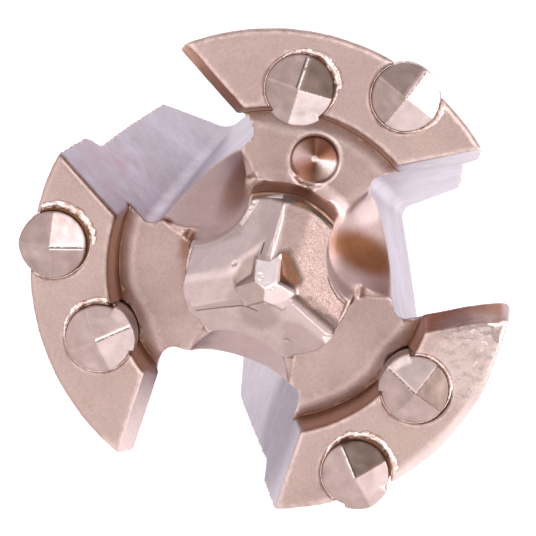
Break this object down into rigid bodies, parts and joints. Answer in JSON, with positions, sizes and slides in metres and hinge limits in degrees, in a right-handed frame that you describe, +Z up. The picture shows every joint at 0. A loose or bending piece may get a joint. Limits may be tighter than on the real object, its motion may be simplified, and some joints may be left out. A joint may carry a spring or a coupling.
{
  "type": "breakthrough drill bit",
  "caption": "Long rotary hammer bit with a wide three-armed head, carbide inserts round its ring and a raised bladed centre tip, for drilling large holes through walls.",
  "frame": {"origin": "middle of the bounding box, on the floor that the bit lies on", "axes": "+Y runs along the bit from its head to its shank, level with the floor; the bit's own axis rises a little towards the head; +Z is up and +X is to the right as seen from in front of the head"},
  "size_m": [0.0776, 0.5996, 0.0748],
  "materials": {
    "head_steel": "satin blasted steel with a copper tint",
    "rod_steel": "satin turned steel",
    "carbide": "sintered and ground carbide",
    "braze": "bright braze"
  },
  "bodies": {
    "root": {"head_body": "head_steel", "drill_rod": "rod_steel", "centre_tip": "carbide", "centre_tip_braze": "braze", "outer_insert_1": "carbide", "outer_insert_1_braze": "braze", "inner_insert_1": "carbide", "inner_insert_1_braze": "braze", "outer_insert_2": "carbide", "outer_insert_2_braze": "braze", "inner_insert_2": "carbide", "inner_insert_2_braze": "braze", "outer_insert_3": "carbide", "outer_insert_3_braze": "braze", "inner_insert_3": "carbide", "inner_insert_3_braze": "braze"}
  },
  "joints": []
}
